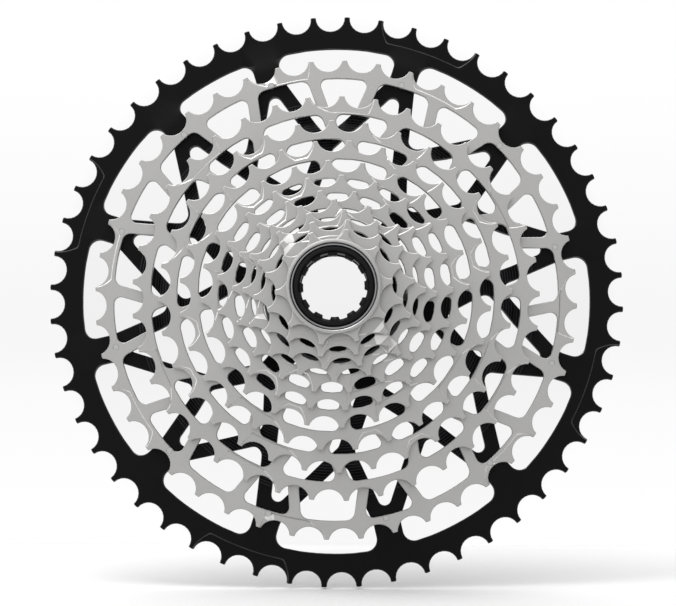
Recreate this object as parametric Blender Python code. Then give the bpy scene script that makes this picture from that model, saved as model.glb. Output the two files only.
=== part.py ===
"""Twelve-speed bicycle cassette: a hollow cluster of eleven steel sprockets, a 52-tooth
aluminium spider sprocket, and the lock tube that fastens them to a freehub.

The sprockets turn about the Y axis, the smallest faces -Y, and y = 0 is the rear face of the
spider's hub, where it seats on the freehub.  Built by bmesh from triangulated outlines.
"""
import math

import bmesh
import bpy
from mathutils import Vector
from mathutils.geometry import delaunay_2d_cdt

MM = 0.001
CHAIN_PITCH = 12.7
ROOT_DROP = 3.98            # pitch radius minus the radius at the bottom of a tooth gap
TIP_LAND = 1.0              # half width of the flat on top of a tooth
SPACING = 3.65              # from one sprocket's middle plane to the next
PLATE = 1.8                 # thickness of a steel sprocket
GAP = 0.3                   # clearance between two pieces that touch
LARGEST_Y = 6.0             # middle plane of the 52-tooth sprocket

# teeth, angle of one tooth tip in degrees, tip radius minus pitch radius
SPROCKETS = [
    (52, 4.6, 1.5),
    (44, 6.0, 0.4),
    (37, 0.6, 0.4),
    (32, 1.2, 0.4),
    (28, 7.5, 0.4),
    (24, 2.9, 0.4),
    (21, 0.9, 0.4),
    (18, 18.3, 0.4),
    (16, 0.0, 0.4),
    (14, 5.9, 0.4),
    (12, 18.7, 0.4),
    (10, 5.4, 0.4),
]
# teeth of the sprocket: (number of windows, angle of one spoke in degrees, spoke width)
WINDOWS = {44: (22, 14.2, 4.2), 37: (16, 2.7, 4.6), 32: (14, 7.5, 4.6), 28: (12, 4.2, 4.4)}
HOLED = (24, 21, 18, 16, 14)    # these have one small hole in each gap of the next smaller one
HOLE_HALF = {24: 4.1, 21: 4.1, 18: 3.6, 16: 3.6, 14: 3.4}
WINDOW_RIM = 2.7            # root radius minus window radius
HOLE_RIM = 2.5
INNER_RING = 2.9            # the next sprocket's root radius minus this ring's bore
WALL_OUT = 0.35             # the wall on a sprocket's back, measured inwards from its root
WALL_IN = 1.25
BORES = {14: 17.3, 12: 13.4, 10: 15.45}

COLLAR = 16.3               # collar round the lock tube on the smallest sprocket
COLLAR_FRONT = -37.6

# spider: radius, front face y, rear face y, joined by straight cone faces
SPIDER_PROFILE = [
    (0.0, -8.5, 0.0),
    (24.5, -8.5, 0.0),
    (26.5, -4.0, 0.0),
    (40.0, -2.0, 2.2),
    (62.0, 0.2, 4.2),
    (66.3, 3.55, 7.0),
    (91.0, 3.55, 7.0),
    (94.4, 5.0, 7.0),
    (120.0, 5.0, 7.0),
]
RING_BORE = 94.4            # inner radius of the toothed ring
HUB_RADIUS = 26.5
HUB_SPLINES = 9
SPLINE_TIP = 16.2
SPLINE_ROOT = 17.2
ARM_STEP = 30.0
ARM_START = 12.8
INDEX_ARM = 3               # this arm stands off its even place
INDEX_SHIFT = 4.1
ARM_WIDTH = 10.0
ARM_END = 82.0
LEG_WIDTH = 5.2
NODE_RADIUS = 56.5          # where the legs of two neighbouring arms meet
NODE_HALF_ANGLE = 15.5      # from a trunk's middle to the nodes on its two sides
TRUNK_START = 49.5          # angle of the first of the six inner trunks
TRUNK_STEP = 60.0
TRUNK_FORK = 40.0
TRUNK_WIDTH = 9.0

PIN_RADIUS = 1.1
PIN_CIRCLE = 83.4
PIN_HOLE = 1.35

TUBE_FRONT = -37.8
TUBE_REAR = -26.0
TUBE_FLANGE = (-36.0, -33.0)
TUBE_NOSE = 14.0
TUBE_LIP = 15.1
TUBE_BODY = 12.9
TUBE_BORE = 11.9
TOOL_SPLINES = 12
TOOL_TIP = 10.8
TOOL_DEPTH = 4.5
TOOL_NOTCH = 7.0            # half angle of a notch in degrees
TOOL_START = 17.0
SNAP_RING = (14.35, 15.15, -37.3, -36.3)
WASHER = (13.3, 15.1, -32.55, -31.75)
ROUND_STEPS = 24
BREAK_STEPS = 24
RING_STEPS = 60

STEEL = ("sprocket_steel", (0.42, 0.41, 0.40), 0.42, 1.0)
BLACK = ("black_anodised", (0.012, 0.012, 0.013), 0.38, 0.7)
TUBE_BLACK = ("black_tube", (0.015, 0.015, 0.016), 0.35, 0.6)
SPRING = ("spring_steel", (0.28, 0.28, 0.28), 0.35, 1.0)
POLYMER = ("washer_polymer", (0.05, 0.05, 0.05), 0.6, 0.0)
PIN_STEEL = ("pin_steel", (0.55, 0.55, 0.55), 0.3, 1.0)


def polar(radius, degrees):
    """Point in the sprocket plane, as (x, z) in millimetres."""
    angle = math.radians(degrees)
    return (radius * math.cos(angle), radius * math.sin(angle))


def circle(radius, steps=ROUND_STEPS, centre=(0.0, 0.0)):
    """Regular outline of a circle."""
    points = [polar(radius, 360.0 * k / steps) for k in range(steps)]
    return [(x + centre[0], z + centre[1]) for x, z in points]


def pitch_radius(teeth):
    """Radius of the circle through the chain's rollers."""
    return CHAIN_PITCH / 2.0 / math.sin(math.pi / teeth)


def root_radius(teeth):
    """Radius at the bottom of a tooth gap."""
    return pitch_radius(teeth) - ROOT_DROP


def plane_y(teeth):
    """Middle plane of a sprocket along Y."""
    index = [row[0] for row in SPROCKETS].index(teeth)
    return LARGEST_Y - SPACING * index


def tooth_outline(teeth, tip_angle, tip_rise):
    """Outline with flat-topped teeth and round gaps, five points a tooth."""
    root = root_radius(teeth)
    tip = pitch_radius(teeth) + tip_rise
    depth = tip - root
    half_gap = math.pi * tip / teeth - TIP_LAND
    arc = (depth * depth + half_gap * half_gap) / (2.0 * depth)
    side = 0.58 * half_gap
    side_radius = root + arc - math.sqrt(arc * arc - side * side)
    side_angle = math.degrees(side / side_radius)
    land_angle = math.degrees(TIP_LAND / tip)
    step = 360.0 / teeth
    points = []
    for k in range(teeth):
        middle = tip_angle + k * step
        points.append(polar(tip, middle - land_angle))
        points.append(polar(tip, middle + land_angle))
        gap = middle + step / 2.0
        points.append(polar(side_radius, gap - side_angle))
        points.append(polar(root, gap))
        points.append(polar(side_radius, gap + side_angle))
    return points


def strip(start, end, width):
    """Rectangle of a given width along the line between two points."""
    axis = Vector(end) - Vector(start)
    side = Vector((-axis.y, axis.x)).normalized() * width / 2.0
    corners = [Vector(start) - side, Vector(end) - side, Vector(end) + side, Vector(start) + side]
    return [tuple(corner) for corner in corners]


def inside(point, loop):
    """Even-odd test of a point against a closed outline."""
    x, z = point
    found = False
    for (x0, z0), (x1, z1) in zip(loop, loop[1:] + loop[:1]):
        if (z0 > z) != (z1 > z) and x < (x1 - x0) * (z - z0) / (z1 - z0) + x0:
            found = not found
    return found


def triangulate(loops):
    """Triangles over all the outlines, which become edges of the triangulation."""
    points = []
    edges = []
    for loop in loops:
        start = len(points)
        points += [Vector(point) for point in loop]
        edges += [(start + k, start + (k + 1) % len(loop)) for k in range(len(loop))]
    result = delaunay_2d_cdt(points, edges, [], 0, 1e-5)
    return [tuple(point) for point in result[0]], result[2]


def make_material(row):
    """Principled material from (name, colour, roughness, metallic)."""
    name, colour, roughness, metallic = row
    if name in bpy.data.materials:
        return bpy.data.materials[name]
    material = bpy.data.materials.new(name)
    material.use_nodes = True
    shader = material.node_tree.nodes["Principled BSDF"]
    shader.inputs["Base Color"].default_value = (*colour, 1.0)
    shader.inputs["Roughness"].default_value = roughness
    shader.inputs["Metallic"].default_value = metallic
    material.diffuse_color = (*colour, 1.0)
    return material


def wall(bm, left, right):
    """Triangles between two upright rows of vertices, each in order along Y."""
    i = 0
    j = 0
    while i < len(left) - 1 or j < len(right) - 1:
        go_left = j == len(right) - 1
        if i < len(left) - 1 and j < len(right) - 1:
            go_left = left[i + 1].co.y <= right[j + 1].co.y
        if go_left:
            bm.faces.new((left[i], left[i + 1], right[j]))
            i += 1
        else:
            bm.faces.new((left[i], right[j + 1], right[j]))
            j += 1


def slab(name, loops, zone_of, heights, look):
    """Closed body over a plane region, with its own front and rear height in each zone.

    zone_of(point) gives a triangle's zone from its middle, or None outside the body.
    heights(zone, radius) gives the front and rear y there, in millimetres.
    """
    points, triangles = triangulate(loops)
    zones = []
    for face in triangles:
        middle = (sum(points[k][0] for k in face) / 3.0, sum(points[k][1] for k in face) / 3.0)
        zones.append(zone_of(middle))
    levels = {}
    edge_zones = {}
    for face, zone in zip(triangles, zones):
        for k in range(3):
            pair = tuple(sorted((face[k], face[(k + 1) % 3])))
            edge_zones.setdefault(pair, []).append(zone)
            if zone is not None:
                point = points[face[k]]
                span = heights(zone, math.hypot(*point))
                levels.setdefault(face[k], set()).update(round(y, 5) for y in span)
    bm = bmesh.new()
    corners = {}
    for k, found in levels.items():
        for y in sorted(found):
            corners[k, y] = bm.verts.new((points[k][0] * MM, y * MM, points[k][1] * MM))

    def span_at(zone, k):
        if zone is None:
            return None
        return tuple(round(y, 5) for y in heights(zone, math.hypot(*points[k])))

    def column(k, low, high):
        return [corners[k, y] for y in sorted(levels[k]) if low <= y <= high]

    for face, zone in zip(triangles, zones):
        if zone is None:
            continue
        for side in (0, 1):
            bm.faces.new([corners[k, span_at(zone, k)[side]] for k in face])
    for (a, b), found in edge_zones.items():
        first, second = (found + [None])[:2]
        if first == second:
            continue
        if first is None or second is None:
            zone = second if first is None else first
            wall(bm, column(a, *span_at(zone, a)), column(b, *span_at(zone, b)))
            continue
        for side in (0, 1):
            at_a = sorted((span_at(first, a)[side], span_at(second, a)[side]))
            at_b = sorted((span_at(first, b)[side], span_at(second, b)[side]))
            if at_a[0] == at_a[1] and at_b[0] == at_b[1]:
                continue
            wall(bm, column(a, *at_a), column(b, *at_b))
    bmesh.ops.recalc_face_normals(bm, faces=bm.faces)
    mesh = bpy.data.meshes.new(name)
    bm.to_mesh(mesh)
    bm.free()
    mesh.shade_smooth()
    mesh.set_sharp_from_angle(angle=math.radians(30.0))
    part = bpy.data.objects.new(name, mesh)
    mesh.materials.append(make_material(look))
    bpy.context.scene.collection.objects.link(part)
    return part


def window_loops(teeth, smaller):
    """Openings between the rim and the ring that carries the next smaller sprocket."""
    count, spoke_angle, spoke_width = WINDOWS[teeth]
    outer = root_radius(teeth) - WINDOW_RIM
    inner = root_radius(smaller) - WALL_OUT + 0.15
    step = 360.0 / count
    loops = []
    for k in range(count):
        start = spoke_angle + k * step
        outer_edge = math.degrees(spoke_width / 2.0 / outer)
        inner_edge = math.degrees(spoke_width / 2.0 / inner)
        corner = math.degrees(1.6 / outer)
        middle = start + step / 2.0
        loops.append([
            polar(inner, start + inner_edge),
            polar(inner, middle),
            polar(inner, start + step - inner_edge),
            polar(outer - 1.6, start + step - outer_edge),
            polar(outer, start + step - outer_edge - corner),
            polar(outer, middle),
            polar(outer, start + outer_edge + corner),
            polar(outer - 1.6, start + outer_edge),
        ])
    return loops


def hole_loops(teeth, smaller):
    """One small hole behind each tooth gap of the next smaller sprocket."""
    tip_angle = dict((row[0], row[1]) for row in SPROCKETS)[smaller]
    outer = root_radius(teeth) - HOLE_RIM
    inner = root_radius(smaller) - 0.1
    half = HOLE_HALF[teeth]
    step = 360.0 / smaller
    loops = []
    for k in range(smaller):
        middle = tip_angle + (k + 0.5) * step
        low = math.degrees(half * 0.75 / inner)
        high = math.degrees(half / outer)
        loops.append([
            polar(inner, middle - low),
            polar(inner, middle),
            polar(inner, middle + low),
            polar(outer, middle + high),
            polar(outer + 0.1, middle),
            polar(outer, middle - high),
        ])
    return loops


def lug_loops(teeth, larger):
    """Lugs on the back of a sprocket's rim, one on each spoke of the next larger one."""
    count, spoke_angle, spoke_width = WINDOWS[larger]
    outer = root_radius(teeth) - WALL_OUT
    inner = root_radius(teeth) - WINDOW_RIM + 0.45
    half = math.degrees(spoke_width / 2.0 / outer)
    loops = []
    for k in range(count):
        middle = spoke_angle + k * 360.0 / count
        low = middle - half
        high = middle + half
        loops.append([polar(inner, low), polar(outer, low), polar(outer, high), polar(inner, high)])
    return loops


def arm_angles():
    """Angles of the spider's twelve arms, one of them shifted."""
    angles = [ARM_START + ARM_STEP * k for k in range(12)]
    angles[INDEX_ARM] += INDEX_SHIFT
    return angles


def pin_centres():
    """Places of the twelve pins, one on each arm."""
    return [polar(PIN_CIRCLE, angle) for angle in arm_angles()]


def steel_sprocket(teeth, tip_angle, tip_rise, smaller, larger):
    """One steel sprocket with its windows, and the wall or lugs on its back."""
    outline = tooth_outline(teeth, tip_angle, tip_rise)
    bore = circle(BORES.get(teeth) or root_radius(smaller) - INNER_RING)
    holes = [bore]
    if teeth in WINDOWS:
        holes += window_loops(teeth, smaller)
    if teeth in HOLED:
        holes += hole_loops(teeth, smaller)
    if teeth == 44:
        holes += [circle(PIN_HOLE, 10, centre) for centre in pin_centres()]
    raised = []
    if larger in WINDOWS:
        raised = lug_loops(teeth, larger)
    rings = []
    if larger and larger != 52 and not raised:
        rings = [circle(root_radius(teeth) - WALL_OUT), circle(root_radius(teeth) - WALL_IN)]
    if teeth == 10:
        rings = [circle(COLLAR)]
    middle_y = plane_y(teeth)
    front = middle_y - PLATE / 2.0
    back = middle_y + PLATE / 2.0
    lug_back = middle_y + SPACING - PLATE / 2.0 - GAP
    spans = {"plate": (front, back), "wall": (front, lug_back), "collar": (COLLAR_FRONT, lug_back)}

    def zone_of(point):
        if not inside(point, outline) or any(inside(point, hole) for hole in holes):
            return None
        if any(inside(point, loop) for loop in raised):
            return "wall"
        if teeth == 10 and inside(point, rings[0]):
            return "collar"
        if len(rings) == 2 and inside(point, rings[0]) and not inside(point, rings[1]):
            return "wall"
        return "plate"

    loops = [outline] + holes + raised + rings
    return slab("sprocket_%dt" % teeth, loops, zone_of, lambda zone, radius: spans[zone], STEEL)


def node_angles():
    """Angles where the legs of neighbouring arms meet, in order round the spider."""
    trunks = [TRUNK_START + TRUNK_STEP * k for k in range(6)]
    return [trunk + side for trunk in trunks for side in (-NODE_HALF_ANGLE, NODE_HALF_ANGLE)]


def spider_pieces():
    """Overlapping outlines whose union, inside the ring, is the spider's open frame."""
    arms = arm_angles()
    nodes = node_angles()
    pieces = []
    for k, angle in enumerate(arms):
        pieces.append(strip(polar(ARM_END, angle), polar(RING_BORE + 2.0, angle), ARM_WIDTH))
        base = (ARM_WIDTH - LEG_WIDTH) / 2.0
        for side, node in ((-1, nodes[k - 1]), (1, nodes[k])):
            offset = math.degrees(base / ARM_END) * side
            pieces.append(strip(polar(ARM_END + 2.0, angle + offset), polar(NODE_RADIUS, node),
                                LEG_WIDTH))
    for k in range(6):
        trunk = TRUNK_START + TRUNK_STEP * k
        for side in (-NODE_HALF_ANGLE, NODE_HALF_ANGLE):
            pieces.append(strip(polar(NODE_RADIUS + 1.5, trunk + side), polar(TRUNK_FORK - 3.0, trunk),
                                LEG_WIDTH + 0.8))
        pieces.append(strip(polar(TRUNK_FORK, trunk), polar(HUB_RADIUS - 3.0, trunk), TRUNK_WIDTH))
    return pieces


def spider_heights(zone, radius):
    """Front and rear y of the spider at a radius, from its profile."""
    for (r0, f0, b0), (r1, f1, b1) in zip(SPIDER_PROFILE, SPIDER_PROFILE[1:]):
        if r0 <= radius <= r1:
            part = (radius - r0) / (r1 - r0)
            return (f0 + (f1 - f0) * part, b0 + (b1 - b0) * part)
    return SPIDER_PROFILE[-1][1:]


def spline_bore():
    """Outline of the hub's bore, with straight-sided splines pointing inwards."""
    points = []
    step = 360.0 / HUB_SPLINES
    for k in range(HUB_SPLINES):
        start = k * step
        for radius, part in ((SPLINE_TIP, -0.18), (SPLINE_TIP, 0.0), (SPLINE_TIP, 0.18),
                             (SPLINE_ROOT, 0.22), (SPLINE_ROOT, 0.36), (SPLINE_ROOT, 0.5),
                             (SPLINE_ROOT, 0.64), (SPLINE_ROOT, 0.78)):
            points.append(polar(radius, start + part * step))
    return points


def spider_sprocket():
    """The 52-tooth sprocket: toothed ring, twelve arms, their legs, six trunks and the hub."""
    teeth, tip_angle, tip_rise = SPROCKETS[0]
    outline = tooth_outline(teeth, tip_angle, tip_rise)
    ring_bore = circle(RING_BORE, RING_STEPS)
    hub = circle(HUB_RADIUS)
    bore = spline_bore()
    pins = [circle(PIN_HOLE, 10, centre) for centre in pin_centres()]
    pieces = spider_pieces()
    around = 1.0 / math.cos(math.pi / BREAK_STEPS)
    bends = SPIDER_PROFILE[1:2] + SPIDER_PROFILE[3:7]
    breaks = [circle(radius * around, BREAK_STEPS) for radius, _, _ in bends]

    def zone_of(point):
        if not inside(point, outline) or inside(point, bore):
            return None
        if any(inside(point, pin) for pin in pins):
            return None
        if not inside(point, ring_bore) or inside(point, hub):
            return "body"
        return "body" if any(inside(point, piece) for piece in pieces) else None

    loops = [outline, ring_bore, hub, bore] + pins + pieces + breaks
    return slab("sprocket_52t_spider", loops, zone_of, spider_heights, BLACK)


def tool_outline():
    """Bore of the lock tube's front end: teeth with notches between them for the tool."""
    points = []
    step = 360.0 / TOOL_SPLINES
    for k in range(TOOL_SPLINES):
        notch = TOOL_START + k * step
        for offset in (-TOOL_NOTCH, 0.0, TOOL_NOTCH):
            points.append(polar(TUBE_BORE, notch + offset))
        points.append(polar(TOOL_TIP, notch + TOOL_NOTCH + 1.2))
        points.append(polar(TOOL_TIP, notch + step - TOOL_NOTCH - 1.2))
    return points


def lock_tube():
    """Lock tube: nose with tool splines, lip behind the snap ring, and the threaded body."""
    bore = tool_outline()
    full_bore = []
    for k in range(TOOL_SPLINES):
        notch = TOOL_START + k * 360.0 / TOOL_SPLINES
        full_bore += [polar(TUBE_BORE, notch + offset) for offset in (-TOOL_NOTCH, 0.0, TOOL_NOTCH)]
        full_bore.append(polar(TUBE_BORE, notch + 180.0 / TOOL_SPLINES))
    rings = {"lip": circle(TUBE_LIP), "nose": circle(TUBE_NOSE), "body": circle(TUBE_BODY)}
    spans = {
        "lip": TUBE_FLANGE,
        "nose": (TUBE_FRONT, TUBE_FLANGE[1]),
        "body": (TUBE_FRONT, TUBE_REAR),
        "splines": (TUBE_FRONT, TUBE_FRONT + TOOL_DEPTH),
    }

    def zone_of(point):
        if not inside(point, rings["lip"]) or inside(point, bore):
            return None
        if inside(point, full_bore):
            return "splines"
        for zone in ("body", "nose"):
            if inside(point, rings[zone]):
                return zone
        return "lip"

    loops = [bore, full_bore] + list(rings.values())
    return slab("lock_tube", loops, zone_of, lambda zone, radius: spans[zone], TUBE_BLACK)


def flat_ring(name, inner, outer, front, back, look, opening=0.0):
    """Flat ring, split by an opening of some degrees at its bottom."""
    if opening:
        steps = 24
        turn = [opening / 2.0 - 90.0 + (360.0 - opening) * k / steps for k in range(steps + 1)]
        loops = [[polar(outer, a) for a in turn] + [polar(inner, a) for a in reversed(turn)]]
    else:
        loops = [circle(outer), circle(inner)]

    def zone_of(point):
        found = inside(point, loops[0])
        return "ring" if found and not any(inside(point, loop) for loop in loops[1:]) else None

    return slab(name, loops, zone_of, lambda zone, radius: (front, back), look)


def spider_pins():
    """Twelve pins that hold the 44-tooth sprocket on the spider's arms."""
    front = plane_y(44) - PLATE / 2.0
    back = SPIDER_PROFILE[5][2]
    for k, (x, z) in enumerate(pin_centres()):
        bm = bmesh.new()
        bmesh.ops.create_cone(bm, cap_ends=True, cap_tris=True, segments=10, radius1=PIN_RADIUS * MM,
                              radius2=PIN_RADIUS * MM, depth=(back - front) * MM)
        name = "spider_pin_%02d" % (k + 1)
        mesh = bpy.data.meshes.new(name)
        bm.to_mesh(mesh)
        bm.free()
        mesh.shade_smooth()
        mesh.set_sharp_from_angle(angle=math.radians(40.0))
        mesh.materials.append(make_material(PIN_STEEL))
        pin = bpy.data.objects.new(name, mesh)
        pin.location = (x * MM, (front + back) / 2.0 * MM, z * MM)
        pin.rotation_euler = (math.radians(90.0), 0.0, 0.0)
        bpy.context.scene.collection.objects.link(pin)


def main():
    """Build every piece of the cassette."""
    for old in list(bpy.data.objects):
        bpy.data.objects.remove(old)
    spider_sprocket()
    rows = SPROCKETS + [(None, 0.0, 0.0)]
    for larger, row, smaller in zip(rows, rows[1:], rows[2:]):
        steel_sprocket(*row, smaller[0], larger[0])
    spider_pins()
    lock_tube()
    inner, outer, front, back = SNAP_RING
    flat_ring("snap_ring", inner, outer, front, back, SPRING, 10.0)
    inner, outer, front, back = WASHER
    flat_ring("thrust_washer", inner, outer, front, back, POLYMER)
    bpy.context.view_layer.update()


main()
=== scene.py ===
"""Looks of a twelve-speed bicycle cassette: finely cut sprockets, spider and lock tube."""
import math

import bpy
import numpy as np
from bpy.props import FloatProperty, FloatVectorProperty
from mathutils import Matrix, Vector
from mathutils.geometry import delaunay_2d_cdt


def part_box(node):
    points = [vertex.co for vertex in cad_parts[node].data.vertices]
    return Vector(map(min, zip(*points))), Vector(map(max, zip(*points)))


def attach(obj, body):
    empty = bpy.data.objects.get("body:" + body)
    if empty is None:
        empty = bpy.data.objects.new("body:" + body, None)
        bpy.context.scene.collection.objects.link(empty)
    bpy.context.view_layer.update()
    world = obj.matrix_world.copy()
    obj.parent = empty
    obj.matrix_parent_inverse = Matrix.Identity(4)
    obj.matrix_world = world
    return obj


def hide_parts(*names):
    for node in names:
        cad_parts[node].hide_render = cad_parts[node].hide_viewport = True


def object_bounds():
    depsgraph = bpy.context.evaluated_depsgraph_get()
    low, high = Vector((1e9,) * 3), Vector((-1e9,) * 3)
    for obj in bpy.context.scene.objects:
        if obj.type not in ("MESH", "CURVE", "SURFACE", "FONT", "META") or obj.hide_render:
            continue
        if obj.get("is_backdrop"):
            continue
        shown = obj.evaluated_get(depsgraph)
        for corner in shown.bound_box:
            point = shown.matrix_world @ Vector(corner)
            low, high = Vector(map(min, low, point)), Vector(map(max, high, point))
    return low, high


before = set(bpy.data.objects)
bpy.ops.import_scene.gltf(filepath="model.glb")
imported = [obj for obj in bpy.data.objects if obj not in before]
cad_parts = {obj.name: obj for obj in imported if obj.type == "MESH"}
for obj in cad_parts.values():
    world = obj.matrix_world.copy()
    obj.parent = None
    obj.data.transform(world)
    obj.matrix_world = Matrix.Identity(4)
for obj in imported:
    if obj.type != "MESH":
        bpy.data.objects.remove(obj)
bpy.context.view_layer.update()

bl_info = {
    "name": "Bicycle cassette",
    "version": (1, 0, 0),
    "blender": (4, 5, 0),
    "location": "View3D > Sidebar > Cassette",
    "description": "Builds a twelve-speed cassette over its packed frame",
    "category": "Object",
}

# Lengths are in millimetres and angles in degrees, unless a comment says otherwise.
MM = 0.001                  # metres
CHAIN_PITCH = 12.7
PLATE = 1.8                 # thickness of a steel sprocket's toothed plate
SPACING = 3.65              # from one sprocket to the next
ROOT_DROP = 3.98            # from the pitch circle in to the bottom of a tooth gap
GAP_STEPS = 13              # outline points in a tooth gap
TIP_STEPS = 3               # outline points on a tooth tip
TIP_POINT = 0.45            # half width of the flat on a tip
TIP_CROWN = (0.06, 0.08, 0.06)
ROUND_STEPS = 120           # outline points of a steel sprocket's bore
TURNED_STEPS = 144          # steps round a turned piece
SHARP_ANGLE = 28.0          # edges between faces at a larger angle stay sharp
LONGEST_CUT = 0.48          # share of a side that the arc at its corner may take
LEAST_LEAN = 0.6            # keeps the inset point of a sharp corner near it
# teeth, angle of one tip, tip radius minus pitch radius, half width of the tip
SPROCKETS = [
    (52, 4.6, 1.5, 1.0),
    (44, 6.0, 0.2, 0.9),
    (37, 0.6, 0.2, 0.9),
    (32, 1.2, 0.2, 0.9),
    (28, 7.5, 0.2, 0.9),
    (24, 2.9, 0.2, 0.9),
    (21, 0.9, 0.2, 0.9),
    (18, 18.3, 0.2, 0.9),
    (16, 0.0, 0.2, 0.9),
    (14, 5.9, 0.2, 0.9),
    (12, 18.7, 0.2, 0.9),
    (10, 5.4, 0.2, 0.9),
]
# teeth: (number of windows, angle of one spoke, spoke width, lean of the spokes in degrees)
WINDOWS = {
    44: (22, 14.2, 4.2, 2.4),
    37: (16, 2.7, 4.6, -2.4),
    32: (14, 7.5, 4.6, 2.0),
    28: (12, 4.2, 4.2, 0.0),
}
HOLED = (24, 21, 18, 16, 14)
HOLE_HALF = {24: 4.3, 21: 4.2, 18: 3.5, 16: 3.5, 14: 3.3}
WINDOW_RIM = 2.7            # from a tooth gap in to the windows
HOLE_RIM = 2.5              # from a tooth gap in to the small holes
INNER_RING = 1.9            # from the next sprocket's tooth gap in to the bore
WINDOW_FOOT = 0.3           # from the next sprocket's tooth gap in to the windows
WINDOW_CORNERS = (1.2, 3.2)             # corner radii at the inner and the outer end
HOLE_FOOT = 0.8             # the same for the small holes
HOLE_TAPER = 0.8            # width of a small hole's inner end over that of its outer end
HOLE_CORNERS = (1.0, 1.5)
BORES = {14: 17.3, 12: 13.4, 10: 15.4}
# teeth: teeth where ramps start that begin steeply and run out slowly over two teeth
SWEPT_RAMPS = {
    44: (11, 30, 42),
    37: (2, 8, 13, 20, 24, 33),
    32: (5, 13, 21, 29),
    28: (3, 10, 17, 24),
    24: (3, 11, 19),
    21: (2, 9, 16),
    18: (1, 7, 13),
    16: (2, 7, 12),
    14: (3, 10),
    12: (2, 8),
}
# teeth: (teeth spanned by each evenly rounded ramp, teeth where they start)
ROUND_RAMPS = {
    52: (3, (8, 21, 34, 47)),
    44: (2, (6, 19, 24, 37)),
    32: (1, (2, 10, 18, 26)),
    28: (1, (0, 7, 14, 21)),
    24: (1, (0, 8, 16)),
    21: (1, (6, 13)),
    18: (1, (5, 11)),
}
SWEPT_RUNS = (1.2, 7.0)     # lengths over which a ramp's two ends reach its level radius
ROUND_RUNS = (3.0, 3.0)
ROUND_LEVEL = 1.1           # from a tooth gap in to a rounded ramp's level radius
LARGEST_LEVEL = 2.6         # the same on the largest sprocket
RAMP_CLEAR = 0.08           # between a ramp's step and the bevel of a window
RAMP_DROP = 0.45            # depth of a ramp in the front face
RAMP_STEP = 0.43            # width of the slope down into it
RAMP_STEPS = 34             # points along a ramp's edge
PLAIN_RIM = 1.6             # ramps' steps carry the painted highlight only this far in from a tooth gap
FINE_BEVEL = 0.04           # broken edge of a pin's hole

# radius, front y and rear y of the spider's dish
SPIDER_PROFILE = np.array([
    (0.0, -8.5, 0.0),
    (24.5, -8.5, 0.0),
    (26.5, -4.0, 0.0),
    (40.0, -2.0, 2.2),
    (62.0, 0.2, 4.2),
    (66.3, 3.55, 7.0),
    (91.0, 3.55, 7.0),
    (94.4, 5.0, 7.0),
    (120.0, 5.0, 7.0),
])
RING_BORE = 94.4
HUB_RADIUS = 26.5
HUB_START = 18.5            # first ring of extra points on the hub
LEGS_START = 29.0           # first ring of extra points on the legs
LEGS_END = 93.0
HUB_GRID = 1.5
LEGS_GRID = 2.2
OPENING_CLEAR = 0.9         # extra points keep this far from openings
RIM_CLEAR = 0.6             # and this far from the toothed ring
OPENING_STEP = 1.6          # longest straight step of an opening's outline
ARM_STEP = 30.0
ARM_START = 12.8
INDEX_ARM = 3               # this arm stands off its even place
INDEX_SHIFT = 4.1
ARM_WIDTH = 10.0
ARM_END = 84.0
LEG_WIDTH = 5.2
NODE_RADIUS = 56.5          # where the legs of two neighbouring arms meet
NODE_HALF_ANGLE = 15.5      # from a trunk's middle to the nodes on its two sides
TRUNK_START = 49.5
TRUNK_STEP = 60.0
TRUNK_FORK = 35.5           # where a trunk splits into two legs
TRUNK_WIDTH = 9.0
FORK_WIDTH = 6.0
RIM_CORNER = 6.5            # corner radii of the spider's openings
LEG_CORNER = 9.0
NODE_CORNER = 3.0
CROTCH_CORNER = 2.4
TRUNK_CORNER = 4.0
HUB_CORNER = 2.0
HUB_SPLINES = 9
SPLINE_TIP = 16.2
SPLINE_ROOT = 17.2
# shares of one spline's turn: points on its tip, and points in the gap after it
SPLINE_TIP_PARTS = (-0.18, 0.0, 0.18)
SPLINE_GAP_PARTS = (0.22, 0.36, 0.5, 0.64, 0.78)
TERRACES = (0.038, 0.0745, 0.00105)     # metres: band of the turned steps' painted highlights from, to, and its step
TERRACE_EDGE = 0.25         # share of a turned step whose edge carries a painted highlight
MARK_SCALE = 2600.0         # turning marks, grain and patches, in noise cells for each metre
GRAIN_SCALE = 3200.0
PATCH_SCALE = 45.0
MARK_DEPTH = 0.00003        # metres
TONE_SPREAD = 0.07          # share by which patches are lighter or darker
ROUGH_SPREAD = 0.07
PIN_CIRCLE = 83.4
PIN_RADIUS = 1.1
PIN_HOLE = 1.12
PIN_BEVEL = 0.08
PIN_STEPS = 20
PIN_HOLE_STEPS = 16

WALL_SETBACK = 0.35         # from a tooth gap in to the wall behind it
WALL_LAP = 0.02             # how far a wall reaches into its plate
WALL_RING = 0.9
LUG_DEPTH = 1.8
# corners of a lug: four in front, then four behind, each in order round it
LUG_FACES = np.array([
    (0, 1, 2, 3), (7, 6, 5, 4), (0, 4, 5, 1), (1, 5, 6, 2), (2, 6, 7, 3), (3, 7, 4, 0)])

TOOL_SPLINES = 12
TOOL_START = 17.0
TOOL_TIP = 10.8
TOOL_ROOT = 11.85
TOOL_NOTCH = 6.6            # half angle of a notch
TOOL_FLANK = 1.4            # angle over which a notch's side rises
TOOL_RING = 12.3
TUBE_NOSE = 14.0
TUBE_LIP = 15.1
TUBE_BODY = 12.9
THREAD_TURNS = 6
THREAD_CREST = 11.75
THREAD_ROOT = 12.1
THREAD_RISE = 0.45          # along the axis from a root to its crest
COLLAR = 16.75

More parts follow.
